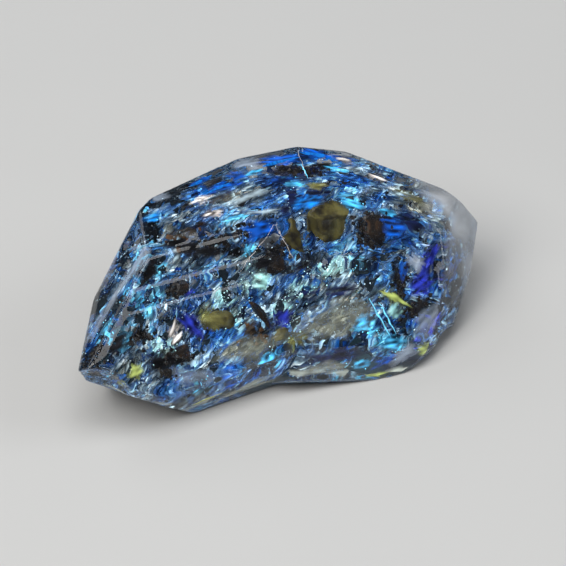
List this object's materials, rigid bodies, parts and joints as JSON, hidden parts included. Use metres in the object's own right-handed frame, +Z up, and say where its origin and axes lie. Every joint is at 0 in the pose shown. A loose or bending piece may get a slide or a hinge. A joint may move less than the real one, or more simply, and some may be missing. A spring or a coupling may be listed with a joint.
{
  "type": "rough petroleum quartz crystal",
  "caption": "Stubby clear quartz crystal with flat growth faces, ledges and chipped corners, holding sealed pockets of yellow oil and black bitumen, to lie on a shelf.",
  "frame": {"origin": "on the base, under the middle of the crystal's box", "axes": "+X along the crystal's length, -Y towards the broad front face, +Z up from the base"},
  "size_m": [0.0222, 0.0126, 0.0069],
  "materials": {
    "quartz": "clear natural crystal, glassy, with silvery veils inside",
    "oil": "olive yellow oil, glossy, blue under ultraviolet light",
    "bitumen": "brown-black solid bitumen, satin"
  },
  "bodies": {
    "root": {"crystal_body": "quartz", "crystal_face": "quartz", "oil_pocket_large": "oil", "oil_pocket_small": "oil", "oil_pocket_low": "oil", "oil_pocket_left": "oil", "bitumen_plate_centre": "bitumen", "bitumen_plate_right": "bitumen", "bitumen_splinter": "bitumen", "bitumen_grain_left": "bitumen", "bitumen_grain_low": "bitumen"}
  },
  "joints": []
}
